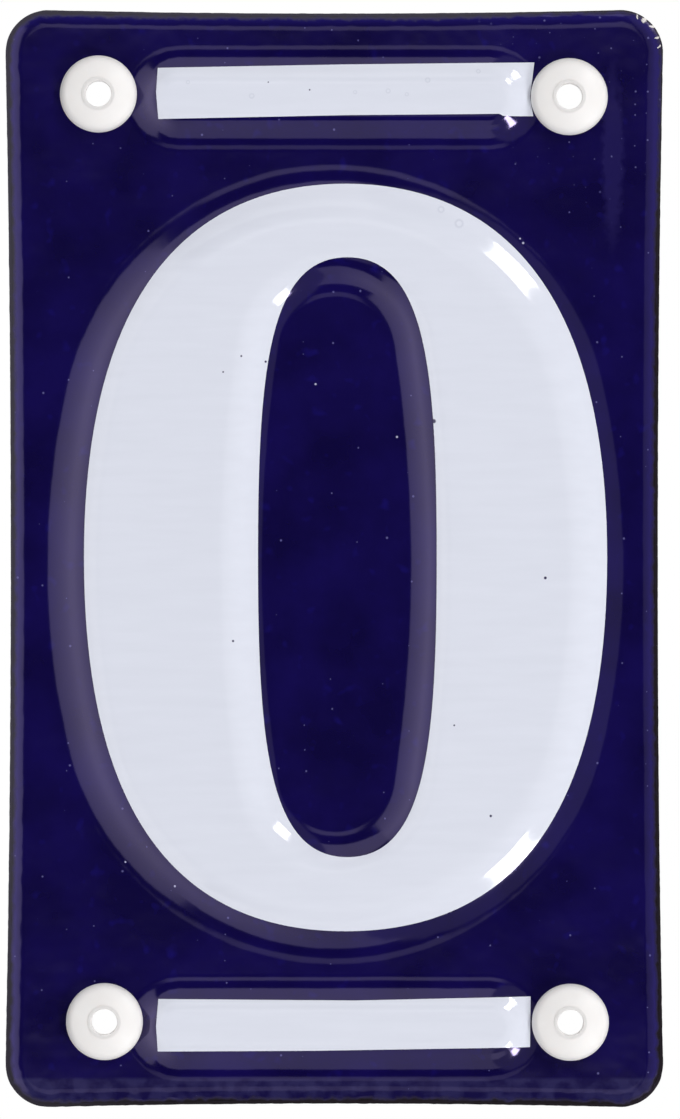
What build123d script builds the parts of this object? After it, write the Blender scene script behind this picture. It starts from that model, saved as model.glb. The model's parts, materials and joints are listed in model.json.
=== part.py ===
from build123d import *

import os
from math import cos, hypot, radians, sin, sqrt, tan

# A house number plaque: a steel sheet pressed with a numeral and two bars and coated in blue enamel,
# a white enamel coat on each raised part, and a nylon ferrule in each of the four screw holes.
# It stands upright, X across and Z up, with its front toward -Y. The wall is the plane Y = 0.
# Lengths are in millimetres and angles in degrees.

# Plate
PLATE_WIDTH = 60.0
PLATE_HEIGHT = 100.0
CORNER_RADIUS = 4.0
SIDE_DRAW = 0.57  # the pressing pulls the middle of each long side in
END_DRAW = 0.42  # and the middle of each short end
SHEET = 1.0  # steel with the enamel on both of its faces
RIM_BEND = 4.0  # inside radius of the rim, which is rolled back toward the wall
RIM_SLOPE = 20.0  # slope that the rim reaches at its cut edge
EDGE_BREAK = 0.3  # the front arris of the cut edge is broken by this much

# Pressing. Each wall is an S of a hollow foot and a round shoulder, with a short straight part between.
PRESS_DROP = 0.35  # the pressing sits this far below the middle of the blank
SIDE_GAP = 1.144  # flat field between the rim and the numeral
BAR_GAP = 1.02  # flat field between the numeral and each bar
END_GAP = 0.654  # flat field between the rim and each bar
NUMERAL_RISE = 1.3
NUMERAL_SLOPE = 25.0
NUMERAL_BENT = 0.865  # share of the rise that the two bends take up
NUMERAL_SIDE_RADIUS = 72.0
STROKE_SIDE = 15.3  # width of the numeral's stroke at its sides
STROKE_END = 7.5  # and at its top and bottom
COUNTER_LIFT = 0.3  # the draw lifts the floor of the counter this far above the field
COUNTER_BENT = 0.94
COUNTER_SIDE_RADIUS = 135.0
BAR_WIDTH = 5.44
BAR_RISE = 0.85
BAR_SLOPE = 28.0
BAR_BENT = 0.95
BAR_FOOT_SHARE = 0.64  # the foot of a bar is rounder than its shoulder
BAR_HOLE_GAP = 0.1  # flat field between a bar and the screw holes beside it

# White coat, laid through a stencil that sits a little out of register with the pressing
COAT = 0.12
STENCIL_SHIFT_X = 1.1
STENCIL_SHIFT_Z = 0.1
COAT_STROKE_SIDE = 15.7  # width of the coat's stroke at its sides
COAT_STROKE_END = 6.75  # and at its top and bottom
COAT_INNER_RADIUS = 157.0  # side radius of the coat's opening
STRIPE_START_GAP = 1.78  # between the left-hand ferrule and the stripe
STRIPE_END_GAP = 0.12  # between the stripe and the right-hand ferrule
STRIPE_SETBACK = 0.4  # the stripe on a bar is narrower than the bar by this much on each side
STRIPE_SPREAD = 0.27  # each stripe is this much further from the middle than the holes are
STRIPE_SHIFT_Z = 0.09
STRIPE_TURN = 0.65

# Ferrules and their holes
HOLE_INSET = 8.65  # from the long side of the blank to the holes
FERRULE_DIAMETER = 7.0
FERRULE_RISE = 2.0  # height of the dome's crown above the field
FERRULE_EDGE = 0.35  # height of the dome's upright edge
FERRULE_ROUND = 0.15
COLLAR_DIAMETER = 4.2
COLLAR_CLEARANCE = 0.1  # radial play of the collar in the plate's hole
BORE_DIAMETER = 2.4
BORE_ROUND = 0.3

# Blanks for cutting stand this far clear of the finished faces.
CLEAR = 5.0


def wall_run(rise, slope):
    """Plan distance from the middle of a straight wall to its foot or its top."""
    return rise / tan(radians(slope)) / 2


def bend_radii(rise, slope, bent, foot_share):
    """Front radii of a wall's shoulder and foot, which take up the share bent of its rise."""
    both = rise * bent / (1 - cos(radians(slope)))
    return both * (1 - foot_share), both * foot_share


def foot_reach(rise, slope, foot):
    """Plan distance from the middle of a wall to where the field is flat again."""
    return wall_run(rise, slope) + foot * tan(radians(slope / 2))


def lean(depth, slope):
    """Plan shift of a wall when the surface moves back by depth, square to the sheet."""
    return depth * tan(radians(slope / 2))


# The front of the field stands this far from the wall, with the back corner of the rim's edge on the wall.
FIELD = SHEET + RIM_BEND * (1 - cos(radians(RIM_SLOPE)))
# The rim takes up this much of the plate's width, and a full quarter turn would take up this much more.
RIM_REACH = (RIM_BEND + SHEET) * sin(radians(RIM_SLOPE))
RIM_SPREAD = RIM_BEND + SHEET - RIM_REACH

# Bends of the walls. The wall of the counter is lower than the outer wall of the numeral.
COUNTER_RISE = NUMERAL_RISE - COUNTER_LIFT
NUMERAL_SHOULDER, NUMERAL_FOOT = bend_radii(NUMERAL_RISE, NUMERAL_SLOPE, NUMERAL_BENT, 0.5)
COUNTER_SHOULDER, COUNTER_FOOT = bend_radii(COUNTER_RISE, NUMERAL_SLOPE, COUNTER_BENT, 0.5)
BAR_SHOULDER, BAR_FOOT = bend_radii(BAR_RISE, BAR_SLOPE, BAR_BENT, BAR_FOOT_SHARE)

# Sizes of the raised parts, halfway up their walls, and the places of the holes and bars
NUMERAL_REACH = foot_reach(NUMERAL_RISE, NUMERAL_SLOPE, NUMERAL_FOOT)
BAR_REACH = foot_reach(BAR_RISE, BAR_SLOPE, BAR_FOOT)
HOLE_X = PLATE_WIDTH / 2 - HOLE_INSET
HOLE_Z = PLATE_HEIGHT / 2 - END_DRAW - RIM_REACH - END_GAP - BAR_REACH - BAR_WIDTH / 2 - PRESS_DROP
NUMERAL_WIDTH = PLATE_WIDTH - 2 * (SIDE_DRAW + RIM_REACH + SIDE_GAP + NUMERAL_REACH)
NUMERAL_HEIGHT = 2 * (HOLE_Z - BAR_WIDTH / 2 - BAR_REACH - BAR_GAP - NUMERAL_REACH)
COUNTER_WIDTH = NUMERAL_WIDTH - 2 * STROKE_SIDE
COUNTER_HEIGHT = NUMERAL_HEIGHT - 2 * STROKE_END
BAR_END = HOLE_X - COLLAR_DIAMETER / 2 - COLLAR_CLEARANCE - BAR_HOLE_GAP
BAR_LENGTH = 2 * (BAR_END - BAR_REACH)
STRIPE_START = -HOLE_X + FERRULE_DIAMETER / 2 + STRIPE_START_GAP
STRIPE_END = HOLE_X - FERRULE_DIAMETER / 2 - STRIPE_END_GAP


def plate_outline(grow):
    """Front view of the blank, moved outward by grow: four shallow hollow sides and round corners."""
    x = PLATE_WIDTH / 2
    z = PLATE_HEIGHT / 2
    side = (z * z + SIDE_DRAW * SIDE_DRAW) / (2 * SIDE_DRAW)
    end = (x * x + END_DRAW * END_DRAW) / (2 * END_DRAW)
    # The arcs of the right side and of the upper end have these centres, and cross at the corner.
    side_centre = x - SIDE_DRAW + side
    end_centre = z - END_DRAW + end
    span = hypot(side_centre, end_centre)
    along = ((side - grow) ** 2 - (end - grow) ** 2 + span * span) / (2 * span)
    away = sqrt((side - grow) ** 2 - along * along)
    corner_x = side_centre - (along * side_centre + away * end_centre) / span
    corner_z = (along * end_centre - away * side_centre) / span
    middle_x = x - SIDE_DRAW + grow
    middle_z = z - END_DRAW + grow
    with BuildSketch(Plane.XZ) as sketch:
        with BuildLine():
            ThreePointArc((-corner_x, -corner_z), (0, -middle_z), (corner_x, -corner_z))
            ThreePointArc((corner_x, -corner_z), (middle_x, 0), (corner_x, corner_z))
            ThreePointArc((corner_x, corner_z), (0, middle_z), (-corner_x, corner_z))
            ThreePointArc((-corner_x, corner_z), (-middle_x, 0), (-corner_x, -corner_z))
        make_face()
        fillet(sketch.vertices(), CORNER_RADIUS + grow)
    return sketch.sketch


def oval(width, height, side_radius, grow):
    """Four-centred oval, moved outward by grow. The end radius follows from the tangency."""
    a = width / 2 + grow
    b = height / 2 + grow
    side = side_radius + grow
    end = (2 * side * a - a * a - b * b) / (2 * (side - b))
    x = (side - a) * end / (side - end)
    z = (b - end) * side / (side - end)
    with BuildSketch(Plane.XZ) as sketch:
        with BuildLine():
            ThreePointArc((x, -z), (a, 0), (x, z))
            ThreePointArc((x, z), (0, b), (-x, z))
            ThreePointArc((-x, z), (-a, 0), (-x, -z))
            ThreePointArc((-x, -z), (0, -b), (x, -z))
        make_face()
    return sketch.sketch


def raised_numeral(depth):
    """Raised ring of the numeral, standing on the plane Y = 0, with its shoulders rounded."""
    outer_grow = wall_run(NUMERAL_RISE, NUMERAL_SLOPE) - lean(depth, NUMERAL_SLOPE)
    outer = oval(NUMERAL_WIDTH, NUMERAL_HEIGHT, NUMERAL_SIDE_RADIUS, outer_grow)
    body = extrude(outer, NUMERAL_RISE, taper=90 - NUMERAL_SLOPE)
    inner_grow = lean(depth, NUMERAL_SLOPE) - wall_run(COUNTER_RISE, NUMERAL_SLOPE)
    inner = oval(COUNTER_WIDTH, COUNTER_HEIGHT, COUNTER_SIDE_RADIUS, inner_grow)
    body -= Pos(0, -COUNTER_LIFT, 0) * extrude(inner, COUNTER_RISE, taper=NUMERAL_SLOPE - 90)
    top = body.faces().sort_by(Axis.Y)[0]
    body = fillet(top.outer_wire().edges(), NUMERAL_SHOULDER - depth)
    top = body.faces().sort_by(Axis.Y)[0]
    return fillet(top.inner_wires()[0].edges(), COUNTER_SHOULDER - depth)


def raised_bar(depth):
    """Raised bar with round ends, standing on the plane Y = 0, with its shoulder rounded."""
    grow = wall_run(BAR_RISE, BAR_SLOPE) - lean(depth, BAR_SLOPE)
    with BuildSketch(Plane.XZ) as foot:
        SlotOverall(BAR_LENGTH + 2 * grow, BAR_WIDTH + 2 * grow)
    body = extrude(foot.sketch, BAR_RISE, taper=90 - BAR_SLOPE)
    return fillet(body.faces().sort_by(Axis.Y)[0].edges(), BAR_SHOULDER - depth)


def flat_at(form, level):
    """The largest flat face of a form at a height above the wall."""
    flats = form.faces().filter_by(Plane.XZ).filter_by_position(Axis.Y, -level - 0.01, -level + 0.01)
    return flats.sort_by(SortBy.AREA)[-1]


def pressed_form(depth):
    """Solid under the plate's front surface, with that surface moved back by depth."""
    level = FIELD - depth
    blank = plate_outline(RIM_SPREAD - depth)
    form = Pos(0, CLEAR, 0) * extrude(blank, level + CLEAR)
    form = fillet(form.faces().sort_by(Axis.Y)[0].edges(), RIM_BEND + SHEET - depth)
    form += Pos(0, -level, -PRESS_DROP) * raised_numeral(depth)
    for z in (HOLE_Z, -HOLE_Z):
        form += Pos(0, -level, z - PRESS_DROP) * raised_bar(depth)
    # The field has a loop round each raised part, and the longest of them is round the numeral.
    *bar_loops, numeral_loop = sorted(flat_at(form, level).inner_wires(), key=lambda loop: loop.length)
    form = fillet(numeral_loop.edges(), NUMERAL_FOOT + depth)
    *bar_loops, _ = sorted(flat_at(form, level).inner_wires(), key=lambda loop: loop.length)
    form = fillet([edge for loop in bar_loops for edge in loop.edges()], BAR_FOOT + depth)
    return fillet(flat_at(form, level + COUNTER_LIFT).outer_wire().edges(), COUNTER_FOOT + depth)


def hole_places():
    """Names and places of the four screw holes."""
    for level, z in (("upper", HOLE_Z), ("lower", -HOLE_Z)):
        for side, x in (("left", -HOLE_X), ("right", HOLE_X)):
            yield f"{level}_{side}", Pos(x, 0, z)


def plate(front):
    """Sheet of even thickness between the front form and the same form moved back."""
    trimmed = front & extrude(plate_outline(0), FIELD + NUMERAL_RISE + CLEAR)
    arris_level = FIELD - (RIM_BEND + SHEET) * (1 - cos(radians(RIM_SLOPE)))
    arris = trimmed.edges().filter_by_position(Axis.Y, -arris_level - 0.01, -arris_level + 0.01)
    sheet = chamfer(arris, EDGE_BREAK) - pressed_form(SHEET)
    hole = extrude(Plane.XZ * Circle(COLLAR_DIAMETER / 2 + COLLAR_CLEARANCE), FIELD + CLEAR)
    for _, place in hole_places():
        sheet -= place * hole
    return sheet


def white_coat(front, coated, opening):
    """The part of a thin coat on the front that the stencil's opening lets through."""
    return (coated & extrude(opening, FIELD + NUMERAL_RISE + CLEAR)) - front


def numeral_opening():
    """Opening of the stencil for the numeral."""
    width = NUMERAL_WIDTH - 2 * COAT_STROKE_SIDE
    height = NUMERAL_HEIGHT - 2 * COAT_STROKE_END
    outer = oval(NUMERAL_WIDTH, NUMERAL_HEIGHT, NUMERAL_SIDE_RADIUS, 0)
    inner = oval(width, height, COAT_INNER_RADIUS, 0)
    return Pos(STENCIL_SHIFT_X, 0, STENCIL_SHIFT_Z) * (outer - inner)


def stripe_opening(z):
    """Opening of the stencil for the bar at height z, which ends at the right-hand ferrule."""
    stripe = Rectangle(STRIPE_END - STRIPE_START, BAR_WIDTH - 2 * STRIPE_SETBACK)
    turned = Plane.XZ * Rot(0, 0, STRIPE_TURN) * stripe
    return Pos((STRIPE_START + STRIPE_END) / 2, 0, z + STRIPE_SHIFT_Z) * turned


def ferrule():
    """Domed ferrule whose collar runs through the plate to the wall."""
    bore = BORE_DIAMETER / 2
    collar = COLLAR_DIAMETER / 2
    brim = FERRULE_DIAMETER / 2
    crown = FERRULE_RISE - FERRULE_EDGE
    sphere = (brim * brim + crown * crown) / (2 * crown)
    centre = FIELD + FERRULE_RISE - sphere
    bore_top = centre + sqrt(sphere * sphere - bore * bore)
    middle = (bore + brim) / 2
    middle_top = centre + sqrt(sphere * sphere - middle * middle)
    with BuildSketch() as section:
        with BuildLine():
            Polyline((bore, -bore_top), (bore, 0), (collar, 0), (collar, -FIELD), (brim, -FIELD))
            Line((brim, -FIELD), (brim, -FIELD - FERRULE_EDGE))
            ThreePointArc((brim, -FIELD - FERRULE_EDGE), (middle, -middle_top), (bore, -bore_top))
        make_face()
        mouth, shoulder = section.vertices().sort_by(Axis.Y)[:2]
        fillet(mouth, BORE_ROUND)
        fillet(shoulder, FERRULE_ROUND)
    return revolve(section.sketch, Axis.Y)


def main():
    os.makedirs("parts", exist_ok=True)
    front = pressed_form(0)
    coated = pressed_form(-COAT)
    nodes = {
        "plate": plate(front),
        "numeral_enamel": white_coat(front, coated, numeral_opening()),
        "upper_bar_enamel": white_coat(front, coated, stripe_opening(HOLE_Z + STRIPE_SPREAD)),
        "lower_bar_enamel": white_coat(front, coated, stripe_opening(-HOLE_Z - STRIPE_SPREAD)),
    }
    # The brim of each ferrule beds down on the end of the bar beside it.
    bush = ferrule()
    for name, place in hole_places():
        nodes[f"ferrule_{name}"] = place * bush - nodes["plate"]
    for name, shape in nodes.items():
        export_step(shape, f"parts/{name}.step")
        print(name, round(shape.volume, 2), "mm3")


main()
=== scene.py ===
# %% [markdown]
# # An enamelled house number
#
# The object is a small house number plaque. A sheet of steel is pressed with a plain raised numeral and two
# raised bars, its rim is rolled back a little, and it is coated in cobalt blue enamel. White enamel is laid on the
# raised parts through a stencil, a little out of register. Four nylon ferrules line the screw holes.
#
# The frame that is loaded here has every piece as a plain solid at its true size and place. The new pieces are
# modelled at the same places, with the finer forms that glossy enamel shows: smooth bends, a lumpy rim and the
# small faults of the firing.

# %% Load the frame
import json
from math import atan2, cos, degrees, hypot, radians, sin, sqrt, tan

import bmesh
import bpy
from mathutils import Matrix, Vector

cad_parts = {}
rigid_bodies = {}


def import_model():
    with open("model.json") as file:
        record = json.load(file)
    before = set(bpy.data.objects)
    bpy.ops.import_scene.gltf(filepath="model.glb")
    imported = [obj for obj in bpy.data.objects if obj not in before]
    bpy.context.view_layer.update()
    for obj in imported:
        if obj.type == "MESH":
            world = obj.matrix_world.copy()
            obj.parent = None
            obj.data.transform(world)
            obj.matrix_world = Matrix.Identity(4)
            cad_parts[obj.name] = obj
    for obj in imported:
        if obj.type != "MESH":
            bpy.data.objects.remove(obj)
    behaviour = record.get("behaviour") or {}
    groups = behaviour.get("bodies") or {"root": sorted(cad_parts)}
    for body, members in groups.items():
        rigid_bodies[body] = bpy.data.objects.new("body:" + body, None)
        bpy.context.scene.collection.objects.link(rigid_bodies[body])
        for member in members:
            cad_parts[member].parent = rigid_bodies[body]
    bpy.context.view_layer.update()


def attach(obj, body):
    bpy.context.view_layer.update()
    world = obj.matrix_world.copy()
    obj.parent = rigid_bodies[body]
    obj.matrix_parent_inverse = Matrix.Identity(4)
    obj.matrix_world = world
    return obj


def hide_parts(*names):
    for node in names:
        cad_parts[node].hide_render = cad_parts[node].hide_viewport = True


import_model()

MM = 0.001

# %% [markdown]
# ## Camera
#
# The photograph looks straight at the plaque from far away, so the sides of the raised parts hardly show. A long
# lens at a metre and a half gives the same view. The plaque stands a hair left of the picture's middle, so the
# camera is moved by that much and nothing is shifted in the lens.

# %% Camera
VIEW_DISTANCE = 1500.0
VIEW_X = 0.52
VIEW_Z = -0.09
VIEW_HEIGHT = 101.87  # height of the picture at the wall
SENSOR = 36.0

bpy.ops.object.select_all(action="DESELECT")
bpy.ops.object.camera_add(location=(VIEW_X * MM, -VIEW_DISTANCE * MM, VIEW_Z * MM), rotation=(radians(90), 0, 0))
camera = bpy.context.object
camera.data.sensor_width = SENSOR
camera.data.lens = SENSOR * VIEW_DISTANCE / VIEW_HEIGHT
camera.data.clip_start = 0.05
camera.data.clip_end = 20.0
bpy.context.scene.camera = camera
print("lens in millimetres:", round(camera.data.lens, 1))

# %% [markdown]
# ## One small tool for shader nodes, and one for colours
#
# Every finish below is a small graph of nodes. `add_node` adds one node, sets its values and links its inputs,
# so a graph reads from top to bottom. Colours are written as the hex values that a colour picker shows, and
# `hex_colour` turns one into the linear light that Blender counts in.

# %% Node and colour helpers
def add_node(tree, kind, values, links):
    """Adds one node. Keys are names of settings or of inputs, or an input's number."""
    node = tree.nodes.new(kind)
    for key, value in values.items():
        if isinstance(key, int) or key in node.inputs:
            node.inputs[key].default_value = value
        else:
            setattr(node, key, value)
    for key, source in links.items():
        tree.links.new(source, node.inputs[key])
    return node


def hex_colour(text):
    """Linear colour with alpha from an sRGB hex value such as #DADCE8."""
    parts = [int(text[i:i + 2], 16) / 255 for i in (1, 3, 5)]
    linear = [c / 12.92 if c <= 0.04045 else ((c + 0.055) / 1.055) ** 2.4 for c in parts]
    return (*linear, 1.0)


def new_material(name):
    """A material with an empty graph: its tree and its surface socket."""
    material = bpy.data.materials.new(name)
    material.use_nodes = True
    tree = material.node_tree
    tree.nodes.clear()
    output = add_node(tree, "ShaderNodeOutputMaterial", {}, {})
    return material, tree, output.inputs["Surface"]


print("white enamel in linear light:", [round(c, 3) for c in hex_colour("#DADCE8")])

# %% [markdown]
# ## Floor, background and light
#
# The plaque is photographed on pure white. The world is white to the camera and to reflections, the floor is white
# to the camera, and both give the object only plain soft light. Two small softboxes stand on the right, one high
# and one low: they make the pairs of hot spots on the rounded shoulders. A third stands behind and shows the hollows
# of the back. Cards that only reflections see stand round the camera, as in a studio: a dark one behind it keeps the
# flat enamel deep blue, and grey and white ones beside it draw the soft bands on the slopes.

# %% Background and floor
WORLD_SOFT = 0.5
FLOOR_DROP = 1100.0

world = bpy.data.worlds.new("studio")
bpy.context.scene.world = world
world.use_nodes = True
tree = world.node_tree
tree.nodes.clear()
rays = add_node(tree, "ShaderNodeLightPath", {}, {})
seen = add_node(tree, "ShaderNodeMath", {"operation": "ADD"},
                {0: rays.outputs["Is Camera Ray"], 1: rays.outputs["Is Glossy Ray"]})
seen = add_node(tree, "ShaderNodeMath", {"operation": "ADD", "use_clamp": True},
                {0: seen.outputs[0], 1: rays.outputs["Is Transmission Ray"]})
level = add_node(tree, "ShaderNodeMapRange", {"To Min": WORLD_SOFT, "To Max": 1.0}, {"Value": seen.outputs[0]})
sky = add_node(tree, "ShaderNodeBackground", {"Color": (1, 1, 1, 1)}, {"Strength": level.outputs[0]})
add_node(tree, "ShaderNodeOutputWorld", {}, {"Surface": sky.outputs[0]})

bpy.ops.object.select_all(action="DESELECT")
bpy.ops.mesh.primitive_plane_add(size=8.0, location=(0, 0, -FLOOR_DROP * MM))
floor = bpy.context.object
floor.name = "floor"
# Matt white paper: it keeps the object's shadow, and a little light of its own takes it to white in the picture.
paper, tree, surface = new_material("white_paper")
rays = add_node(tree, "ShaderNodeLightPath", {}, {})
seen = add_node(tree, "ShaderNodeMath", {"operation": "ADD", "use_clamp": True},
                {0: rays.outputs["Is Camera Ray"], 1: rays.outputs["Is Glossy Ray"]})
lift = add_node(tree, "ShaderNodeMapRange", {"To Min": 0.0, "To Max": 0.3}, {"Value": seen.outputs[0]})
shader = add_node(tree, "ShaderNodeBsdfPrincipled",
                  {"Base Color": hex_colour("#F2F2F2"), "Roughness": 0.95, "Specular IOR Level": 0.0,
                   "Emission Color": (1, 1, 1, 1)}, {"Emission Strength": lift.outputs[0]})
tree.links.new(shader.outputs[0], surface)
floor.data.materials.append(paper)
floor.visible_glossy = False  # the cards stand in its place for reflections
print("floor at", -FLOOR_DROP, "mm")


# %% Softboxes and cards
def softbox(name, toward, distance, width, height, radiance):
    """An area lamp that faces the plaque, its height toward the camera. Its power follows from its brightness."""
    back = Vector(toward).normalized()
    bpy.ops.object.light_add(type="AREA", location=back * distance * MM)
    lamp = bpy.context.object
    lamp.name = name
    up = (Vector((0, -1, 0)) + back * back.y).normalized()
    lamp.rotation_euler = Matrix((up.cross(back), up, back)).transposed().to_euler()
    lamp.data.shape = "RECTANGLE"
    lamp.data.size = width * MM
    lamp.data.size_y = height * MM
    lamp.data.energy = radians(180) * width * MM * height * MM * radiance
    lamp.visible_camera = False
    print(name, "power in watts:", round(lamp.data.energy, 2))
    return lamp


softbox("softbox_high", (0.53, -0.66, 0.533), 1500, 230, 400, 27.5)
softbox("softbox_low", (0.53, -0.66, -0.533), 1500, 230, 400, 27.5)
fill = softbox("fill_left", (-0.8, -0.6, 0.1), 1500, 1400, 1800, 0.3)
fill.visible_glossy = False
softbox("softbox_back", (0.45, 0.7, 0.6), 1500, 500, 700, 7.0)


def draw_outline(corners):
    """Draws a closed flat outline from its corner points in millimetres, in the plane of X and Y."""
    bpy.ops.object.select_all(action="DESELECT")
    bpy.ops.mesh.primitive_plane_add(size=MM, location=(0, 0, 0))
    bpy.ops.object.mode_set(mode="EDIT")
    bpy.ops.mesh.select_mode(type="VERT")
    bpy.ops.mesh.merge(type="CENTER")
    x, y = corners[0]
    bpy.ops.transform.translate(value=(x * MM, y * MM, 0))
    for next_x, next_y in corners[1:] + corners[:1]:
        bpy.ops.mesh.extrude_region_move(TRANSFORM_OT_translate={"value": ((next_x - x) * MM, (next_y - y) * MM, 0)})
        x, y = next_x, next_y
    bpy.ops.mesh.select_all(action="SELECT")
    bpy.ops.mesh.remove_doubles(threshold=0.001 * MM)
    bpy.ops.mesh.edge_face_add()
    bpy.ops.object.mode_set(mode="OBJECT")
    return bpy.context.object


def card(name, back, corners, brightness, far_brightness):
    """An upright card behind the camera that only reflections see. It brightens toward four metres to the left."""
    sheet = draw_outline(corners)
    sheet.name = name
    sheet.rotation_euler = (radians(90), 0, 0)
    sheet.location = (0, -back * MM, 0)
    material, tree, surface = new_material(name)
    coords = add_node(tree, "ShaderNodeTexCoord", {}, {})
    split = add_node(tree, "ShaderNodeSeparateXYZ", {}, {0: coords.outputs["Object"]})
    level = add_node(tree, "ShaderNodeMapRange", {"From Max": -4.0, "To Min": brightness, "To Max": far_brightness},
                     {"Value": split.outputs["X"]})
    glow = add_node(tree, "ShaderNodeEmission", {"Color": (1, 1, 1, 1)}, {"Strength": level.outputs[0]})
    tree.links.new(glow.outputs[0], surface)
    sheet.data.materials.append(material)
    for ray in ("camera", "diffuse", "shadow", "transmission", "volume_scatter"):
        setattr(sheet, "visible_" + ray, False)
    return sheet


card("dark_card", 2000, [(-1160, -1180), (1160, -1180), (1160, 1230), (-1160, 1230)], 0.0, 0.0)
card("right_card", 1990, [(265, -2600), (3300, -2600), (3300, 2400), (265, 2400)], 0.3, 0.3)
left_corners = [(-400, 475), (-400, -600), (-780, -1180), (300, -1180), (300, -4000), (-4500, -4000),
                (-4500, 2980), (-2500, 2980)]
card("left_card", 1980, left_corners, 0.7, 2.7)
card("high_strip", 1970, [(-120, 160), (120, 160), (200, 440), (-200, 440)], 0.75, 0.75)
card("low_strip", 1970, [(-200, -460), (200, -460), (120, -140), (-120, -140)], 0.5, 0.5)

# %% [markdown]
# ## Drawing a section and carrying it along a path
#
# Pressed sheet is a set of bends that run along a line. A section is drawn as a sheet-metal worker would say it:
# so far straight on, then so many degrees at such a radius. It starts from one vertex, an extrude makes each
# straight run, and a spin makes each bend. The whole section is then carried round the numeral, the bars and the
# rim by more spins, one for each arc of the outline. The bends are true arcs everywhere, which a glossy surface
# needs.

# %% Section and sweep helpers
PITCH = 0.7  # length of the facets along a path
RIM_PITCH = 0.3


def draw_section(across, forward, heading, moves):
    """Draws a section beside the middle of the plaque and leaves it selected.

    A move is a straight run (length,) or a bend (radius, degrees, steps), where a bend to the left counts up.
    """
    bpy.ops.mesh.primitive_plane_add(size=MM, location=(across * MM, -forward * MM, 0))
    bpy.ops.mesh.merge(type="CENTER")
    for move in moves:
        ahead = Vector((cos(radians(heading)), sin(radians(heading))))
        if len(move) == 1:
            step = ahead * move[0]
            bpy.ops.mesh.extrude_region_move(TRANSFORM_OT_translate={"value": (step.x * MM, -step.y * MM, 0)})
            across += step.x
            forward += step.y
        else:
            radius, turn, steps = move
            side = 1 if turn > 0 else -1
            to_centre = Vector((-ahead.y, ahead.x)) * radius * side
            centre = Vector((across, forward)) + to_centre
            bpy.ops.mesh.spin(steps=steps, angle=radians(turn), center=(centre.x * MM, -centre.y * MM, 0),
                              axis=(0, 0, 1))
            heading += turn
            ahead = Vector((cos(radians(heading)), sin(radians(heading))))
            across, forward = centre - Vector((-ahead.y, ahead.x)) * radius * side
    bpy.ops.mesh.select_linked()
    return across, forward


def sweep(path, pitch=PITCH):
    """Carries the selected section along arcs (centre x, centre z, radius, degrees) and runs (x, z), and closes it."""
    for item in path:
        if len(item) == 2:
            bpy.ops.mesh.extrude_region_move(TRANSFORM_OT_translate={"value": (item[0] * MM, 0, item[1] * MM)})
        else:
            x, z, radius, turn = item
            steps = max(4, round(abs(radians(turn)) * radius / pitch))
            bpy.ops.mesh.spin(steps=steps, angle=radians(turn), center=(x * MM, 0, z * MM), axis=(0, 1, 0))
    bpy.ops.mesh.select_linked()
    bpy.ops.mesh.remove_doubles(threshold=0.001 * MM)


def pick(kind, test):
    """Selects the vertices, edges or faces of the open mesh that pass a test on them and on their middle in mm."""
    bpy.ops.mesh.select_mode(type={"verts": "VERT", "edges": "EDGE", "faces": "FACE"}[kind])
    bpy.ops.mesh.select_all(action="DESELECT")
    mesh = bmesh.from_edit_mesh(bpy.context.object.data)
    count = 0
    for item in getattr(mesh, kind):
        points = [item.co] if kind == "verts" else [v.co for v in item.verts]
        middle = sum(points, Vector()) / len(points) / MM
        if test(item, middle):
            item.select_set(True)
            count += 1
    mesh.select_flush_mode()
    bmesh.update_edit_mesh(bpy.context.object.data)
    return count


def start_mesh(name):
    """A new empty mesh at the origin, open for modelling."""
    bpy.ops.object.select_all(action="DESELECT")
    bpy.ops.mesh.primitive_plane_add(size=MM, location=(0, 0, 0))
    piece = bpy.context.object
    piece.name = name
    piece.data.name = name
    bpy.ops.object.mode_set(mode="EDIT")
    bpy.ops.mesh.delete(type="VERT")
    bpy.ops.mesh.select_mode(type="VERT")
    return piece


print("facets along a path:", PITCH, "mm, and along the rim:", RIM_PITCH, "mm")

# %% [markdown]
# ## The pressed plate
#
# The front of the sheet is modelled as a skin: the rolled rim, the wall round the numeral, the wall round its
# counter and the walls of the two bars, each with a hollow bend at the foot and a round shoulder at the top. A
# short flat strip at each end of a section keeps the reflections on the flat parts true. The flats between them
# are filled, and Solidify then gives the skin the even thickness of a real sheet, so the back has the hollows
# that a pressing has. A hand-fed press is never quite true, so some sizes differ from the solid's by a few tenths
# of a millimetre, as in the photograph.

# %% Sizes of the plate, in millimetres and degrees
PLATE_WIDTH, PLATE_HEIGHT, CORNER = 60.25, 100.25, 4.0
SIDE_DRAW, END_DRAW = 0.57, 0.42
SHEET = 1.0
RIM_BEND, RIM_SLOPE = 5.0, 20.0
FIELD = 1.2412  # height of the field's front above the wall
NUMERAL_WIDTH, NUMERAL_HEIGHT, NUMERAL_SIDE, NUMERAL_DROP = 47.703, 67.4, 72.0, 0.53
NUMERAL_RISE, NUMERAL_SLOPE, NUMERAL_BEND = 1.3, 25.0, 6.0
COUNTER_WIDTH, COUNTER_HEIGHT, COUNTER_SIDE, COUNTER_DROP = 17.103, 52.57, 135.0, 0.5
COUNTER_LIFT, COUNTER_BEND, COUNTER_SHIFT = 0.3, 5.0, 0.1
BAR_LENGTH, BAR_WIDTH, BAR_DROP = 34.04, 5.685, 0.42
BAR_RISE, BAR_SLOPE, BAR_FOOT, BAR_SHOULDER = 0.98, 28.0, 4.41, 2.48
HOLE_X, HOLE_Z = 21.35, 42.246
HOLE_RADIUS = 2.2
STRIP = 0.05  # flat strip at the ends of a section
BEND_STEPS = 12


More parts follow.
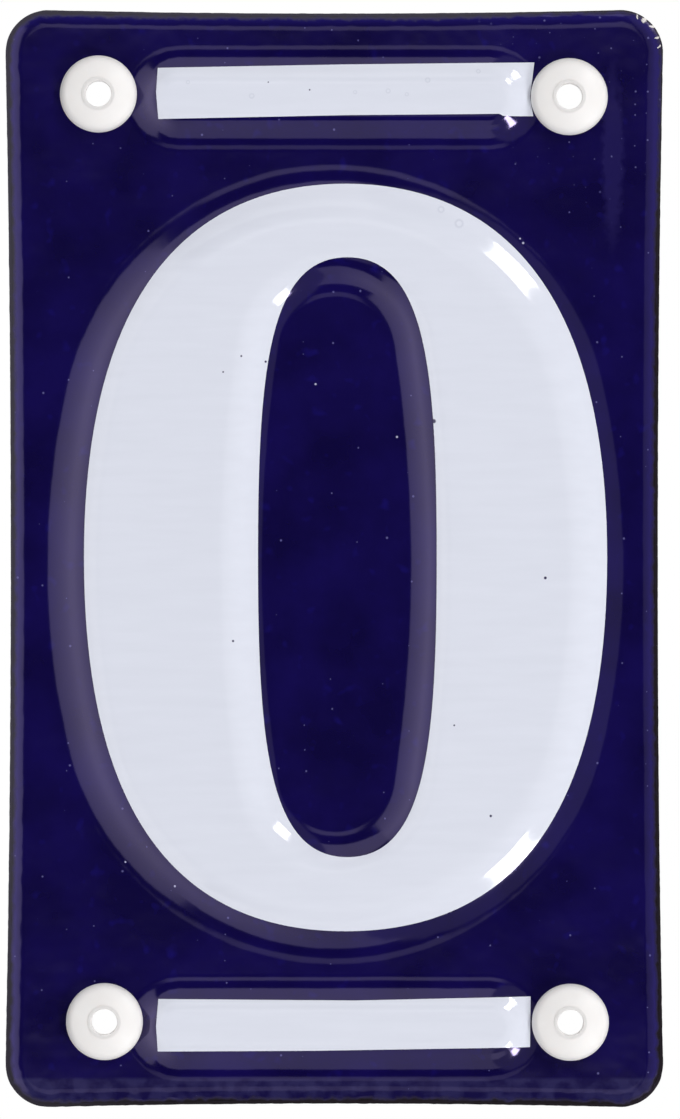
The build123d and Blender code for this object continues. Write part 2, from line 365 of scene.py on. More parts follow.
def wall_moves(rise, slope, foot, shoulder, side):
    """Moves up a wall from the field: hollow foot, straight wall, round shoulder. Side is 1 to climb to the left."""
    bends = (foot + shoulder) * (1 - cos(radians(slope)))
    straight = (rise - bends) / sin(radians(slope))
    return [(STRIP,), (foot, slope * side, BEND_STEPS), (straight,), (shoulder, -slope * side, BEND_STEPS), (STRIP,)]


def foot_reach(rise, slope, foot):
    """Plan distance from the middle of a wall to the flat field."""
    return rise / tan(radians(slope)) / 2 + foot * tan(radians(slope / 2))


def oval_path(width, height, side):
    """Arcs of a four-centred oval, from its right-hand middle all the way round."""
    a, b = width / 2, height / 2
    end = (2 * side * a - a * a - b * b) / (2 * (side - b))
    turn = degrees(atan2(b - end, side - a))
    quarter = [(a - side, 0, side, turn), (0, b - end, end, 180 - 2 * turn)]
    return quarter + [(side - a, 0, side, 2 * turn), (0, end - b, end, 180 - 2 * turn), quarter[0]]


print("the numeral stands", NUMERAL_RISE, "mm above the field, and the bars", BAR_RISE, "mm")


# %% Rim
plate = start_mesh("enamelled_plate")


def quarter_path():
    """Arcs of a quarter of the blank: half a side, which is hollow and turns the other way, a corner, half an end."""
    x, z = PLATE_WIDTH / 2, PLATE_HEIGHT / 2
    side = (z * z + SIDE_DRAW ** 2) / (2 * SIDE_DRAW)
    end = (x * x + END_DRAW ** 2) / (2 * END_DRAW)
    side_x, end_z = x - SIDE_DRAW + side, z - END_DRAW + end
    # The centre of a corner is one corner radius outside both arcs.
    span = hypot(side_x, end_z)
    along = ((side + CORNER) ** 2 - (end + CORNER) ** 2 + span * span) / (2 * span)
    away = sqrt((side + CORNER) ** 2 - along * along)
    corner_x = side_x - (along * side_x + away * end_z) / span
    corner_z = (along * end_z - away * side_x) / span
    side_turn = degrees(atan2(corner_z, side_x - corner_x))
    end_turn = degrees(atan2(corner_x, end_z - corner_z))
    corner = (corner_x, corner_z, CORNER, 90 + side_turn + end_turn)
    return [(side_x, 0, side, -side_turn), corner, (0, end_z, end, -end_turn)]


def apply_modifier(piece, kind, **settings):
    """Adds a modifier with its settings and applies it."""
    bpy.ops.object.select_all(action="DESELECT")
    piece.select_set(True)
    bpy.context.view_layer.objects.active = piece
    modifier = piece.modifiers.new(kind.lower(), kind)
    for key, value in settings.items():
        setattr(modifier, key, value)
    bpy.ops.object.modifier_apply(modifier=modifier.name)


rim_reach = RIM_BEND * sin(radians(RIM_SLOPE))
rim_start = PLATE_WIDTH / 2 - SIDE_DRAW - rim_reach - STRIP
end = draw_section(rim_start, FIELD, 0, [(STRIP,), (RIM_BEND, -RIM_SLOPE, BEND_STEPS)])
sweep(quarter_path(), RIM_PITCH)
bpy.ops.object.mode_set(mode="OBJECT")
apply_modifier(plate, "MIRROR", use_axis=(True, False, True), merge_threshold=0.02 * MM)
print("rim's cut edge at", [round(c, 3) for c in end], "mm,", len(plate.data.polygons), "faces")

# %% Numeral, counter and bars
bpy.ops.object.mode_set(mode="EDIT")
reach = foot_reach(NUMERAL_RISE, NUMERAL_SLOPE, NUMERAL_BEND)
moves = wall_moves(NUMERAL_RISE, NUMERAL_SLOPE, NUMERAL_BEND, NUMERAL_BEND, -1)
draw_section(NUMERAL_WIDTH / 2 + reach + STRIP, FIELD, 180, moves)
sweep(oval_path(NUMERAL_WIDTH, NUMERAL_HEIGHT, NUMERAL_SIDE))
bpy.ops.transform.translate(value=(0, 0, -NUMERAL_DROP * MM))

# The draw lifts the floor of the counter a little above the field.
counter_rise = NUMERAL_RISE - COUNTER_LIFT
reach = foot_reach(counter_rise, NUMERAL_SLOPE, COUNTER_BEND)
moves = wall_moves(counter_rise, NUMERAL_SLOPE, COUNTER_BEND, COUNTER_BEND, 1)
draw_section(COUNTER_WIDTH / 2 - reach - STRIP, FIELD + COUNTER_LIFT, 0, moves)
sweep(oval_path(COUNTER_WIDTH, COUNTER_HEIGHT, COUNTER_SIDE))
bpy.ops.transform.translate(value=(COUNTER_SHIFT * MM, 0, -COUNTER_DROP * MM))

reach = foot_reach(BAR_RISE, BAR_SLOPE, BAR_FOOT)
bar_end, bar_x = BAR_WIDTH / 2, (BAR_LENGTH - BAR_WIDTH) / 2
quarter = (bar_x, 0, bar_end, 90)
bar_path = [quarter, (-2 * bar_x, 0), (-bar_x, 0, bar_end, 180), (2 * bar_x, 0), quarter]
moves = wall_moves(BAR_RISE, BAR_SLOPE, BAR_FOOT, BAR_SHOULDER, -1)
for height in (HOLE_Z, -HOLE_Z):
    draw_section(BAR_LENGTH / 2 + reach + STRIP, FIELD, 180, moves)
    sweep(bar_path)
    bpy.ops.transform.translate(value=(0, 0, (height - BAR_DROP) * MM))
for x in (-HOLE_X, HOLE_X):
    for z in (-HOLE_Z, HOLE_Z):
        bpy.ops.mesh.primitive_circle_add(vertices=48, radius=HOLE_RADIUS * MM, rotation=(radians(90), 0, 0),
                                          location=(x * MM, -FIELD * MM, z * MM))
print("walls of the relief:", len(bmesh.from_edit_mesh(plate.data).faces), "faces")


# %% Flats between the walls
def fill_flat(height, test):
    """Fills the open loops at a height above the wall whose edges pass a test."""
    pick("edges", lambda e, m: len(e.link_faces) < 2 and abs(m.y + height) < 0.001 and test(m))
    bpy.ops.mesh.fill()


def in_counter(m):
    """Test for places within the numeral's counter."""
    return abs(m.x) < COUNTER_WIDTH / 2 and abs(m.z) < COUNTER_HEIGHT / 2


fill_flat(FIELD, lambda m: True)
fill_flat(FIELD + COUNTER_LIFT, in_counter)
fill_flat(FIELD + NUMERAL_RISE, lambda m: True)
fill_flat(FIELD + BAR_RISE, lambda m: m.z > 0)
fill_flat(FIELD + BAR_RISE, lambda m: m.z < 0)
bpy.ops.mesh.select_all(action="SELECT")
bpy.ops.mesh.normals_make_consistent(inside=False)
mesh = bmesh.from_edit_mesh(plate.data)
flat = max(mesh.faces, key=lambda f: abs(f.normal.y) * f.calc_area())
if flat.normal.y > 0:
    bpy.ops.mesh.flip_normals()
open_edges = pick("edges", lambda e, m: len(e.link_faces) < 2)
bpy.ops.object.mode_set(mode="OBJECT")
print("front skin:", len(plate.data.polygons), "faces,", open_edges, "open edges round the rim and the holes")


# %% Copies of the skin for the white coats
def copy_skin(name):
    """A copy of the front skin, with its own mesh, for a coat that lies on it."""
    bpy.ops.object.select_all(action="DESELECT")
    plate.select_set(True)
    bpy.context.view_layer.objects.active = plate
    bpy.ops.object.duplicate()
    piece = bpy.context.object
    piece.name = name
    piece.data.name = name
    return piece


numeral_white, upper_white, lower_white = map(copy_skin, ("numeral_white", "upper_bar_white", "lower_bar_white"))
print("copies of the skin:", numeral_white.name, upper_white.name, lower_white.name)


# %% Thickness of the sheet and its beaded edge
EDGE_ROUND = 0.4
LUMP_SIZE, LUMP_HEIGHT = 1.1, 0.14

apply_modifier(plate, "SOLIDIFY", thickness=SHEET * MM, offset=-1, use_even_offset=True, use_quality_normals=True)
bpy.ops.object.mode_set(mode="EDIT")


def on_cut_edge(edge, m):
    """Test for the sharp edges along the cut of the sheet."""
    outside = abs(m.x) > PLATE_WIDTH / 2 - 1.6 or abs(m.z) > PLATE_HEIGHT / 2 - 1.6
    turns = len(edge.link_faces) == 2 and edge.calc_face_angle() > radians(60)
    return outside and turns


print("edges of the cut:", pick("edges", on_cut_edge))
bpy.ops.mesh.bevel(offset=EDGE_ROUND * MM, segments=5, profile=0.5, affect="EDGES")
bpy.ops.object.mode_set(mode="OBJECT")

# Enamel runs to the edge and dries there in beads, most of all along the bottom.
beads = plate.vertex_groups.new(name="beads")
for vertex in plate.data.vertices:
    x, y, z = vertex.co / MM
    from_edge = min(PLATE_WIDTH / 2 - SIDE_DRAW - abs(x), PLATE_HEIGHT / 2 - END_DRAW - abs(z))
    weight = max(0.0, 1 - from_edge / 1.3) * (1.0 if z < -46 else 0.6)
    if y < -0.3 and weight > 0:
        beads.add([vertex.index], min(weight, 1.0), "REPLACE")
lumps = bpy.data.textures.new("enamel_beads", "CLOUDS")
lumps.noise_scale = LUMP_SIZE * MM
apply_modifier(plate, "DISPLACE", texture=lumps, texture_coords="LOCAL", strength=LUMP_HEIGHT * MM, mid_level=0.6,
               vertex_group="beads")
print("plate:", len(plate.data.polygons), "faces")

# %% [markdown]
# ## White enamel
#
# White enamel is dusted through a stencil and fired on top of the blue, so it is a thin coat of its own that
# follows the pressing. The stencil sat a millimetre to the right, which leaves a blue band on the left slope and
# takes the white down the right slope. Each coat is the copied skin with a little thickness, cut by the outline
# of the stencil's opening. The outline is a closed curve of four points with handles, which is how a sign painter
# would draw such an oval.

# %% Stencil outlines
COAT = 0.12
COAT_SINK = 0.02  # the coat is melted into the blue by this much
CUTTER_DEPTH = 8.0


def oval_cutter(name, centre_x, centre_z, half_width, half_height, side_pull, end_pull, sag):
    """A prism over the outline of a drawn oval, given by its middle, half sizes and the pull of its handles.

    Sag is the share by which the handles at the sides are longer below than above.
    """
    bpy.ops.object.select_all(action="DESELECT")
    bpy.ops.curve.primitive_bezier_circle_add(location=(0, 0, 0))
    curve = bpy.context.object
    curve.data.resolution_u = 48
    points = curve.data.splines[0].bezier_points
    for point in points:
        on_side = abs(point.co.x) > 0.5
        x, y = round(point.co.x) * half_width, round(point.co.y) * half_height
        handle = Vector((0, half_height * side_pull, 0)) if on_side else Vector((half_width * end_pull, 0, 0))
        left_sign = 1 if (point.handle_left - point.co).dot(handle) > 0 else -1
        point.handle_left_type = point.handle_right_type = "FREE"
        point.co = (x * MM, y * MM, 0)
        droop = sag * left_sign if on_side else 0.0
        point.handle_left = point.co + handle * left_sign * (1 - droop) * MM
        point.handle_right = point.co - handle * left_sign * (1 + droop) * MM
    bpy.ops.object.convert(target="MESH")
    return stand_cutter(name, centre_x, centre_z)


def stand_cutter(name, centre_x, centre_z):
    """Stands the flat outline up in front of the plaque, fills it and makes a prism of it."""
    piece = bpy.context.object
    piece.name = name
    piece.rotation_euler = (radians(90), 0, 0)
    piece.location = (centre_x * MM, 0, centre_z * MM)
    bpy.ops.object.transform_apply(location=True, rotation=True, scale=True)
    bpy.ops.object.mode_set(mode="EDIT")
    bpy.ops.mesh.select_mode(type="VERT")
    bpy.ops.mesh.select_all(action="SELECT")
    bpy.ops.mesh.remove_doubles(threshold=0.001 * MM)
    if not piece.data.polygons:
        bpy.ops.mesh.edge_face_add()
    bpy.ops.mesh.extrude_region_move(TRANSFORM_OT_translate={"value": (0, -CUTTER_DEPTH * MM, 0)})
    bpy.ops.mesh.select_all(action="SELECT")
    bpy.ops.mesh.normals_make_consistent(inside=False)
    bpy.ops.object.mode_set(mode="OBJECT")
    return piece


def cut_coat(piece, cutter, operation):
    """Cuts a coat with a prism, which is then thrown away."""
    apply_modifier(piece, "BOOLEAN", operation=operation, object=cutter, solver="EXACT")
    bpy.data.objects.remove(cutter)


def thicken_coat(piece):
    """Gives a coat its thickness, most of it in front of the skin and a little behind."""
    whole = COAT + COAT_SINK
    apply_modifier(piece, "SOLIDIFY", thickness=whole * MM, offset=(COAT - COAT_SINK) / whole,
                   use_even_offset=True, use_quality_normals=True)


print("a coat is", COAT, "mm thick")

# %% Coat on the numeral
thicken_coat(numeral_white)
cut_coat(numeral_white, oval_cutter("stencil_outer", 1.03, 0.1, 23.78, 33.983, 0.794, 0.509, 0.012), "INTERSECT")
cut_coat(numeral_white, oval_cutter("stencil_inner", 1.186, 0.117, 8.125, 27.264, 0.619, 0.887, 0.0), "DIFFERENCE")
print("numeral's coat:", len(numeral_white.data.polygons), "faces")


# %% Coats on the bars
def stripe_cutter(name, corners):
    """A prism over a stripe drawn by its corner points in millimetres."""
    draw_outline(corners)
    return stand_cutter(name, 0, 0)


upper_corners = [(-16.05, 44.62), (-16.2, 42.4), (-16.0, 39.95), (1.0, 40.3), (15.0, 40.42), (15.4, 40.22),
                 (18.1, 40.22), (17.8, 42.0), (18.2, 45.12), (1.0, 44.93)]
lower_corners = [(-16.0, -40.05), (-16.2, -42.5), (-16.05, -44.82), (-2.0, -44.75), (17.8, -44.44), (17.86, -39.83),
                 (2.0, -40.18)]
for piece, corners in ((upper_white, upper_corners), (lower_white, lower_corners)):
    thicken_coat(piece)
    cut_coat(piece, stripe_cutter("stencil_stripe", corners), "INTERSECT")
    print(piece.name, len(piece.data.polygons), "faces")

# %% [markdown]
# ## Nylon ferrules
#
# Each screw hole is lined by a moulded ferrule: a low dome with a hole, and a collar that runs through the plate
# to the wall. It is turned work, so half its section is drawn and spun once round. The edges of the dome and of
# the bore are then rounded as the mould rounds them.

# %% Ferrule
FERRULE_RADIUS, FERRULE_EDGE = 3.5, 0.5
COLLAR_RADIUS, BORE_RADIUS = 2.1, 1.17
SHOULDER_RADIUS, SHOULDER_TURN = 1.1, 66.0
DOME_RADIUS, DOME_TURN = 8.0, 12.3
BORE_ROUND = 0.32
BED = 0.02  # the brim starts this far inside the plate, which is then cut out of it

first = start_mesh("ferrule")
# From the bore at the wall: out along the wall, up the collar, out under the brim, up its edge and over the dome.
moves = [(FERRULE_EDGE + BED,), (SHOULDER_RADIUS, SHOULDER_TURN, 12), (DOME_RADIUS, DOME_TURN, 10)]
bore, bore_height = draw_section(FERRULE_RADIUS, FIELD - BED, 90, moves)
pick("verts", lambda v, m: m.x < bore + 0.001)
bpy.ops.mesh.extrude_region_move(TRANSFORM_OT_translate={"value": ((BORE_RADIUS - bore) * MM, 0, 0)})
bpy.ops.mesh.extrude_region_move(TRANSFORM_OT_translate={"value": (0, bore_height * MM, 0)})
bpy.ops.mesh.extrude_region_move(TRANSFORM_OT_translate={"value": ((COLLAR_RADIUS - BORE_RADIUS) * MM, 0, 0)})
bpy.ops.mesh.extrude_region_move(TRANSFORM_OT_translate={"value": (0, (BED - FIELD) * MM, 0)})
bpy.ops.mesh.extrude_region_move(TRANSFORM_OT_translate={"value": ((FERRULE_RADIUS - COLLAR_RADIUS) * MM, 0, 0)})
bpy.ops.mesh.select_linked()
bpy.ops.mesh.spin(steps=96, angle=radians(360), center=(0, 0, 0), axis=(0, 1, 0))
bpy.ops.mesh.select_all(action="SELECT")
bpy.ops.mesh.remove_doubles(threshold=0.001 * MM)
bpy.ops.mesh.normals_make_consistent(inside=False)


def at_radius(radius, low, high):
    """Test for the round edges at a radius, between two heights above the wall."""
    def test(edge, m):
        ends = [hypot(v.co.x, v.co.z) / MM for v in edge.verts]
        level = abs(edge.verts[0].co.y - edge.verts[1].co.y) < 1e-7
        return level and low < -m.y < high and all(abs(r - radius) < 0.01 for r in ends)
    return test


pick("edges", at_radius(BORE_RADIUS, 1.0, 4.0))
bpy.ops.mesh.bevel(offset=BORE_ROUND * MM, segments=6, profile=0.5, affect="EDGES")
bpy.ops.object.mode_set(mode="OBJECT")
print("one ferrule:", len(first.data.polygons), "faces")

# %% The four ferrules
# The holes were punched by hand, and the ferrules sit a few tenths of a millimetre out of true.
offsets = {"upper_left": (-0.1, 0.0), "upper_right": (0.02, -0.24), "lower_left": (0.45, 0.13),
           "lower_right": (0.12, 0.07)}
ferrules = {}
for level_name, hole_z in (("upper", HOLE_Z), ("lower", -HOLE_Z)):
    for side_name, hole_x in (("left", -HOLE_X), ("right", HOLE_X)):
        off_x, off_z = offsets[f"{level_name}_{side_name}"]
        x, z = hole_x + off_x, hole_z + off_z
        bpy.ops.object.select_all(action="DESELECT")
        first.select_set(True)
        bpy.context.view_layer.objects.active = first
        bpy.ops.object.duplicate()
        piece = bpy.context.object
        piece.name = f"nylon_ferrule_{level_name}_{side_name}"
        piece.data.name = piece.name
        piece.location = (x * MM, 0, z * MM)
        bpy.ops.object.transform_apply(location=True, rotation=True, scale=True)
        # The brim beds down on the end of the bar beside it.
        apply_modifier(piece, "BOOLEAN", operation="DIFFERENCE", object=plate, solver="EXACT")
        bpy.ops.object.mode_set(mode="EDIT")
        bpy.ops.mesh.select_mode(type="VERT")
        bpy.ops.mesh.select_all(action="SELECT")
        bpy.ops.mesh.remove_doubles(threshold=0.001 * MM)
        bpy.ops.mesh.dissolve_degenerate(threshold=0.001 * MM)
        bpy.ops.mesh.select_all(action="SELECT")
        bpy.ops.mesh.delete_loose()
        bpy.ops.object.mode_set(mode="OBJECT")
        ferrules[f"ferrule_{level_name}_{side_name}"] = piece
bpy.data.objects.remove(first)
print("ferrules:", sorted(p.name for p in ferrules.values()))

# %% [markdown]
# ## Finishes
#
# Enamel is a layer of glass that is melted onto steel. Its surface is as smooth as glass but never quite flat: it
# has a slow ripple where it ran in the kiln, and that is what bends the reflections in the photograph. It also
# has small faults, and each of them has a known place: pinholes, burst blisters, and chips at one corner.
# `near_points` makes a mask round such places, seen from the front.

# %% Masks for faults
def near_points(tree, place, points):
    """A mask that is 1 close to any of the points (x, z, radius), in millimetres."""
    front = add_node(tree, "ShaderNodeVectorMath", {"operation": "MULTIPLY", 1: (1, 0, 1)}, {0: place})
    mask = None
    for x, z, radius in points:
        away = add_node(tree, "ShaderNodeVectorMath", {"operation": "DISTANCE", 1: (x * MM, 0, z * MM)},
                        {0: front.outputs[0]})
        spot = add_node(tree, "ShaderNodeMapRange", {"From Min": radius * MM, "From Max": radius * 0.6 * MM},
                        {"Value": away.outputs["Value"]})
        if mask is None:
            mask = spot
        else:
            mask = add_node(tree, "ShaderNodeMath", {"operation": "MAXIMUM"}, {0: mask.outputs[0], 1: spot.outputs[0]})
    return mask.outputs[0]


def mix_colour(tree, factor, below, above):
    """Lays the colour above over the colour below. Each is a socket or a hex value."""
    values, links = {"data_type": "RGBA"}, {0: factor}
    for key, colour in ((6, below), (7, above)):
        if isinstance(colour, str):
            values[key] = hex_colour(colour)
        else:
            links[key] = colour
    return add_node(tree, "ShaderNodeMix", values, links).outputs[2]


# %% Blue enamel
# Cobalt blue vitreous enamel, fired: dark and deep, cloudy with cobalt, with pale specks of dust. The edge is burnt
# to the dark ground coat, which is rougher, and the back has only that coat.
blue, tree, surface = new_material("cobalt_blue_vitreous_enamel")
coords = add_node(tree, "ShaderNodeTexCoord", {}, {})
place = coords.outputs["Object"]
clouds = add_node(tree, "ShaderNodeTexNoise", {"Scale": 1 / (7 * MM), "Detail": 4.0}, {"Vector": place})
deep = add_node(tree, "ShaderNodeMapRange", {"From Min": 0.35, "From Max": 0.65}, {"Value": clouds.outputs["Fac"]})
colour = mix_colour(tree, deep.outputs[0], "#0C0638", "#120A4A")
blots = add_node(tree, "ShaderNodeTexNoise", {"Scale": 1 / (1.4 * MM), "Detail": 1.0}, {"Vector": place})
vivid = add_node(tree, "ShaderNodeMapRange", {"From Min": 0.64, "From Max": 0.85, "To Max": 0.4},
                 {"Value": blots.outputs["Fac"]})
colour = mix_colour(tree, vivid.outputs[0], colour, "#1B1478")
# Over the rolled rim the glaze is thinner and brighter, and along the bottom it has run and is cloudy grey.
split = add_node(tree, "ShaderNodeSeparateXYZ", {}, {0: place})
rolled = add_node(tree, "ShaderNodeMapRange", {"From Min": -1.235 * MM, "From Max": -1.15 * MM},
                  {"Value": split.outputs["Y"]})
colour = mix_colour(tree, rolled.outputs[0], colour, "#1C1558")
ragged = add_node(tree, "ShaderNodeTexNoise", {"Scale": 1 / (0.7 * MM), "Detail": 2.0}, {"Vector": place})
run = add_node(tree, "ShaderNodeMapRange", {"From Min": -47.15 * MM, "From Max": -47.45 * MM},
               {"Value": split.outputs["Z"]})
cloudy = add_node(tree, "ShaderNodeTexNoise", {"Scale": 1 / (1.6 * MM), "Detail": 3.0}, {"Vector": place})
cloudy = add_node(tree, "ShaderNodeMapRange", {"From Min": 0.38, "From Max": 0.58}, {"Value": cloudy.outputs["Fac"]})
cloudy = mix_colour(tree, cloudy.outputs[0], "#15103F", "#27244F")
colour = mix_colour(tree, run.outputs[0], colour, cloudy)
# A lighter streak on the blue of the numeral's right slope, a little above the middle, is painted reflected light. Its
# border wanders with the noise.
shift = add_node(tree, "ShaderNodeVectorMath", {"operation": "SUBTRACT", 1: (0.5, 0.5, 0.5)},
                 {0: ragged.outputs["Color"]})
shift = add_node(tree, "ShaderNodeVectorMath", {"operation": "SCALE", "Scale": 1.2 * MM}, {0: shift.outputs[0]})
broken = add_node(tree, "ShaderNodeVectorMath", {"operation": "ADD"}, {0: place, 1: shift.outputs[0]})
squat = add_node(tree, "ShaderNodeVectorMath", {"operation": "MULTIPLY", 1: (1, 1, 0.12)}, {0: broken.outputs[0]})
right_slope_painted_light = near_points(tree, squat.outputs[0], [(25.3, 4.4, 1.12)])
right_slope_painted_light = add_node(tree, "ShaderNodeMath", {"operation": "MULTIPLY", 1: 0.65}, {0: right_slope_painted_light})
colour = mix_colour(tree, right_slope_painted_light.outputs[0], colour, "#221C54")
# Pale specks of dust, thickest round one corner. Only the luckiest cells of a pattern have one.
SPECK_RADIUS, SPECK_BLUR = 0.13, 0.05
front = add_node(tree, "ShaderNodeCombineXYZ", {}, {0: split.outputs["X"], 1: split.outputs["Z"]})
everywhere = near_points(tree, place, [(0, 0, 200.0)])
corner = near_points(tree, place, [(28.0, 46.0, 16.0)])
for spacing, share, where in ((2.4, 0.65, everywhere), (1.1, 0.55, corner)):
    dust = add_node(tree, "ShaderNodeTexVoronoi", {"voronoi_dimensions": "2D", "Scale": 1 / (spacing * MM)},
                    {"Vector": front.outputs[0]})
    lucky = add_node(tree, "ShaderNodeSeparateXYZ", {}, {0: dust.outputs["Color"]})
    size = add_node(tree, "ShaderNodeMapRange", {"From Min": share, "To Max": SPECK_RADIUS / spacing},
                    {"Value": lucky.outputs[0]})
    inside = add_node(tree, "ShaderNodeMath", {"operation": "SUBTRACT"},
                      {0: size.outputs[0], 1: dust.outputs["Distance"]})
    speck = add_node(tree, "ShaderNodeMapRange", {"From Max": SPECK_BLUR / spacing, "To Max": 0.6},
                     {"Value": inside.outputs[0]})
    speck = add_node(tree, "ShaderNodeMath", {"operation": "MULTIPLY"}, {0: speck.outputs[0], 1: where})
    colour = mix_colour(tree, speck.outputs[0], colour, "#6A67A0")
hairs = near_points(tree, place, [(17.18, 28.7, 0.13), (16.9, 29.1, 0.1), (14.5, -25.6, 0.12), (-1.7, 15.86, 0.12),
                                  (5.7, 11.06, 0.12), (-19.0, -27.6, 0.11), (-14.5, -29.8, 0.12)])
colour = mix_colour(tree, hairs, colour, "#A9A8C8")
# At the edge the glaze ends on the burnt ground coat, never in a straight line, and later at the chipped corner.
# The burnt coat is dull as well as dark.
drift = add_node(tree, "ShaderNodeMath", {"operation": "MULTIPLY_ADD", 1: 0.12 * MM},
                 {0: ragged.outputs["Fac"], 2: split.outputs["Y"]})
drift = add_node(tree, "ShaderNodeMath", {"operation": "MULTIPLY_ADD", 1: -0.05 * MM}, {0: corner, 2: drift.outputs[0]})
burnt = add_node(tree, "ShaderNodeMapRange", {"From Min": -1.097 * MM, "From Max": -1.01 * MM},
                 {"Value": drift.outputs[0]})
# The burnt edge is painted lighter toward the upper left and darker toward the lower right: painted light and shade
# over its own dark colour.
edge_painted_light = add_node(tree, "ShaderNodeVectorMath", {"operation": "DOT_PRODUCT", 1: (-1.0, 0.0, 0.6)}, {0: place})
edge_painted_light = add_node(tree, "ShaderNodeMapRange", {"From Min": -15 * MM, "From Max": 15 * MM}, {"Value": edge_painted_light.outputs["Value"]})
burnt_edge_with_painted_light = mix_colour(tree, edge_painted_light.outputs[0], "#171312", "#3A3840")
colour = mix_colour(tree, burnt.outputs[0], colour, burnt_edge_with_painted_light)
chips = near_points(tree, broken.outputs[0], [(27.5, 49.37, 0.16), (28.2, 49.02, 0.3), (28.87, 48.35, 0.24),
                                              (29.27, 47.55, 0.18), (29.52, 46.8, 0.12)])
colour = mix_colour(tree, chips, colour, "#DDD9D3")
facing = add_node(tree, "ShaderNodeSeparateXYZ", {}, {0: coords.outputs["Normal"]})
behind = add_node(tree, "ShaderNodeMapRange", {"From Min": 0.1, "From Max": 0.4}, {"Value": facing.outputs["Y"]})
ground = mix_colour(tree, ragged.outputs["Fac"], "#121218", "#26262E")
colour = mix_colour(tree, behind.outputs[0], colour, ground)
ripple = add_node(tree, "ShaderNodeTexNoise", {"Scale": 1 / (4.5 * MM), "Detail": 2.0}, {"Vector": place})
bump = add_node(tree, "ShaderNodeBump", {"Strength": 1.0, "Distance": 0.035 * MM}, {"Height": ripple.outputs["Fac"]})
bare = add_node(tree, "ShaderNodeMath", {"operation": "MAXIMUM"}, {0: burnt.outputs[0], 1: behind.outputs[0]})
rough = add_node(tree, "ShaderNodeMapRange", {"To Min": 0.1, "To Max": 0.5}, {"Value": bare.outputs[0]})
gloss = add_node(tree, "ShaderNodeMapRange", {"To Min": 0.5, "To Max": 0.08}, {"Value": burnt.outputs[0]})
shader = add_node(tree, "ShaderNodeBsdfPrincipled", {"IOR": 1.65, "Specular Tint": (0.7, 0.6, 1.0, 1.0)},
                  {"Base Color": colour, "Roughness": rough.outputs[0], "Specular IOR Level": gloss.outputs[0],
                   "Normal": bump.outputs[0]})
tree.links.new(shader.outputs[0], surface)
print(blue.name, "has", len(tree.nodes), "nodes")

# %% White enamel
# Opaque white vitreous enamel over the blue: cool white and glossy, faintly streaked by the brush that dusted it,
# with pinholes down to the blue and burst blisters, most of them on the upper bar.
white, tree, surface = new_material("white_vitreous_enamel")
coords = add_node(tree, "ShaderNodeTexCoord", {}, {})
place = coords.outputs["Object"]
brushed = add_node(tree, "ShaderNodeVectorMath", {"operation": "MULTIPLY", 1: (0.12, 1, 1)}, {0: place})
streaks = add_node(tree, "ShaderNodeTexNoise", {"Scale": 1 / (0.9 * MM), "Detail": 3.0}, {"Vector": brushed.outputs[0]})
faint = add_node(tree, "ShaderNodeMapRange", {"From Min": 0.3, "From Max": 0.7}, {"Value": streaks.outputs["Fac"]})
colour = mix_colour(tree, faint.outputs[0], "#D9DCE8", "#DCDFEB")
pinholes = near_points(tree, place, [(19.18, -1.76, 0.16), (14.22, -23.4, 0.14), (-9.2, -7.5, 0.13),
                                     (10.9, -15.16, 0.1), (9.04, 12.48, 0.24), (-8.45, 18.4, 0.11),
                                     (-10.1, 16.95, 0.1), (-6.24, 17.9, 0.13), (-6.0, 43.3, 0.08),
                                     (-2.24, 42.6, 0.09)])
colour = mix_colour(tree, pinholes, colour, "#3A3658")
blisters = [(9.71, 31.73, 0.38), (11.35, 30.45, 0.5), (-7.5, 42.05, 0.3), (4.9, 42.5, 0.28), (1.9, 42.4, 0.22),
            (6.6, 42.2, 0.22), (8.5, 43.5, 0.3), (13.1, 44.3, 0.25), (-13.3, 43.3, 0.22)]
rims = near_points(tree, place, blisters)
cores = near_points(tree, place, [(x, z, radius * 0.6) for x, z, radius in blisters])
ring = add_node(tree, "ShaderNodeMath", {"operation": "SUBTRACT"}, {0: rims, 1: cores})
# The grey ring round each blister is painted shade on its raised rim, which the bump below also raises.
blister_rim_painted_shade = add_node(tree, "ShaderNodeMath", {"operation": "MULTIPLY", 1: 0.25}, {0: ring.outputs[0]})
colour = mix_colour(tree, blister_rim_painted_shade.outputs[0], colour, "#9A9FB5")
ripple = add_node(tree, "ShaderNodeTexNoise", {"Scale": 1 / (5 * MM), "Detail": 2.0}, {"Vector": place})
height = add_node(tree, "ShaderNodeMath", {"operation": "MULTIPLY_ADD", 1: 0.6},
                  {0: ring.outputs[0], 2: ripple.outputs["Fac"]})
bump = add_node(tree, "ShaderNodeBump", {"Strength": 1.0, "Distance": 0.014 * MM}, {"Height": height.outputs[0]})
shader = add_node(tree, "ShaderNodeBsdfPrincipled", {"IOR": 1.5, "Roughness": 0.08},
                  {"Base Color": colour, "Normal": bump.outputs[0]})
tree.links.new(shader.outputs[0], surface)
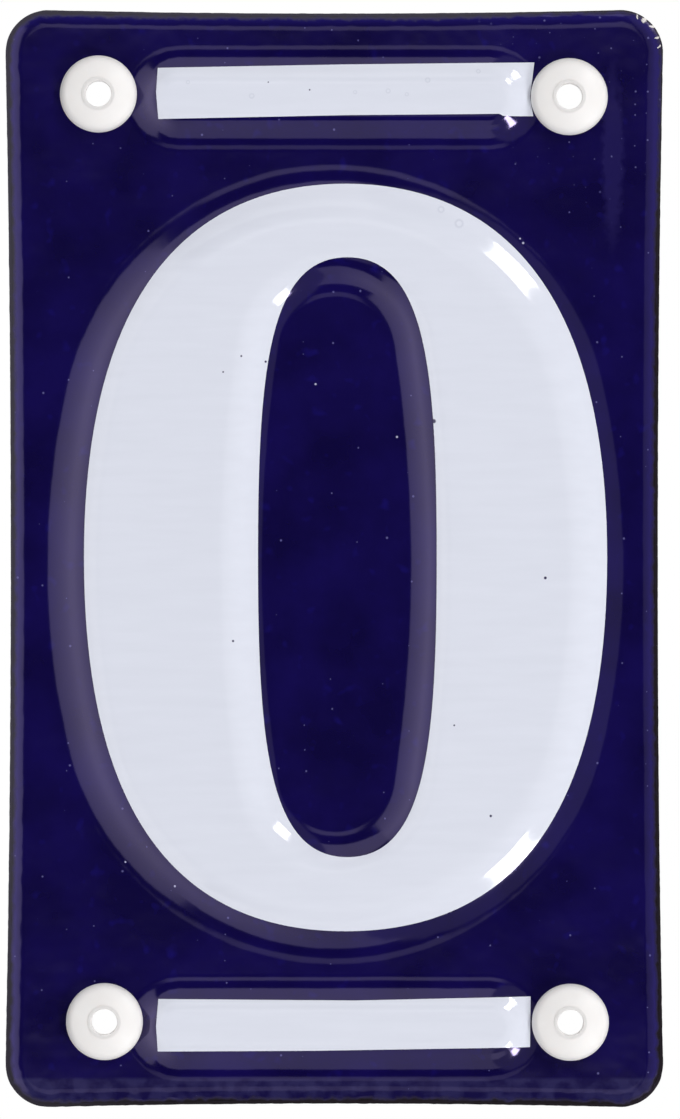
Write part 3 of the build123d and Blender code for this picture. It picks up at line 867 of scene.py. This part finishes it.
print(white.name, "has", len(tree.nodes), "nodes")

# %% Nylon
# Natural nylon, moulded: a warm milky white that light enters a little, with a satin skin from the mould.
nylon, tree, surface = new_material("moulded_natural_nylon")
coords = add_node(tree, "ShaderNodeTexCoord", {}, {})
place = coords.outputs["Object"]
clouds = add_node(tree, "ShaderNodeTexNoise", {"Scale": 1 / (2 * MM), "Detail": 3.0}, {"Vector": place})
colour = mix_colour(tree, clouds.outputs["Fac"], "#EBE8E7", "#F0EEED")
grain = add_node(tree, "ShaderNodeTexNoise", {"Scale": 1 / (0.4 * MM), "Detail": 2.0}, {"Vector": place})
bump = add_node(tree, "ShaderNodeBump", {"Strength": 1.0, "Distance": 0.003 * MM}, {"Height": grain.outputs["Fac"]})
shader = add_node(tree, "ShaderNodeBsdfPrincipled",
                  {"IOR": 1.53, "Specular IOR Level": 0.25, "Roughness": 0.4, "Subsurface Weight": 0.3,
                   "Subsurface Radius": (1.0, 0.95, 0.9), "Subsurface Scale": 0.8 * MM},
                  {"Base Color": colour, "Normal": bump.outputs[0]})
tree.links.new(shader.outputs[0], surface)
print(nylon.name, "has", len(tree.nodes), "nodes")


# %% Dress the pieces
def dress(piece, material, node):
    """Gives a piece its finish and its smooth shading, attaches it to the root body and hides the solid it stands for.
    """
    piece.data.materials.clear()
    piece.data.materials.append(material)
    bpy.ops.object.select_all(action="DESELECT")
    piece.select_set(True)
    bpy.context.view_layer.objects.active = piece
    bpy.ops.object.shade_smooth_by_angle(angle=radians(35))
    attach(piece, "root")
    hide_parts(node)


dress(plate, blue, "plate")
dress(numeral_white, white, "numeral_enamel")
dress(upper_white, white, "upper_bar_enamel")
dress(lower_white, white, "lower_bar_enamel")
for node, piece in ferrules.items():
    dress(piece, nylon, node)
print("dressed", 4 + len(ferrules), "pieces")

# %% [markdown]
# ## Finish
#
# The picture is shown as it is, without a film look, so that a colour comes out as it was written.

# %% Finish
bpy.context.scene.view_settings.view_transform = "Standard"
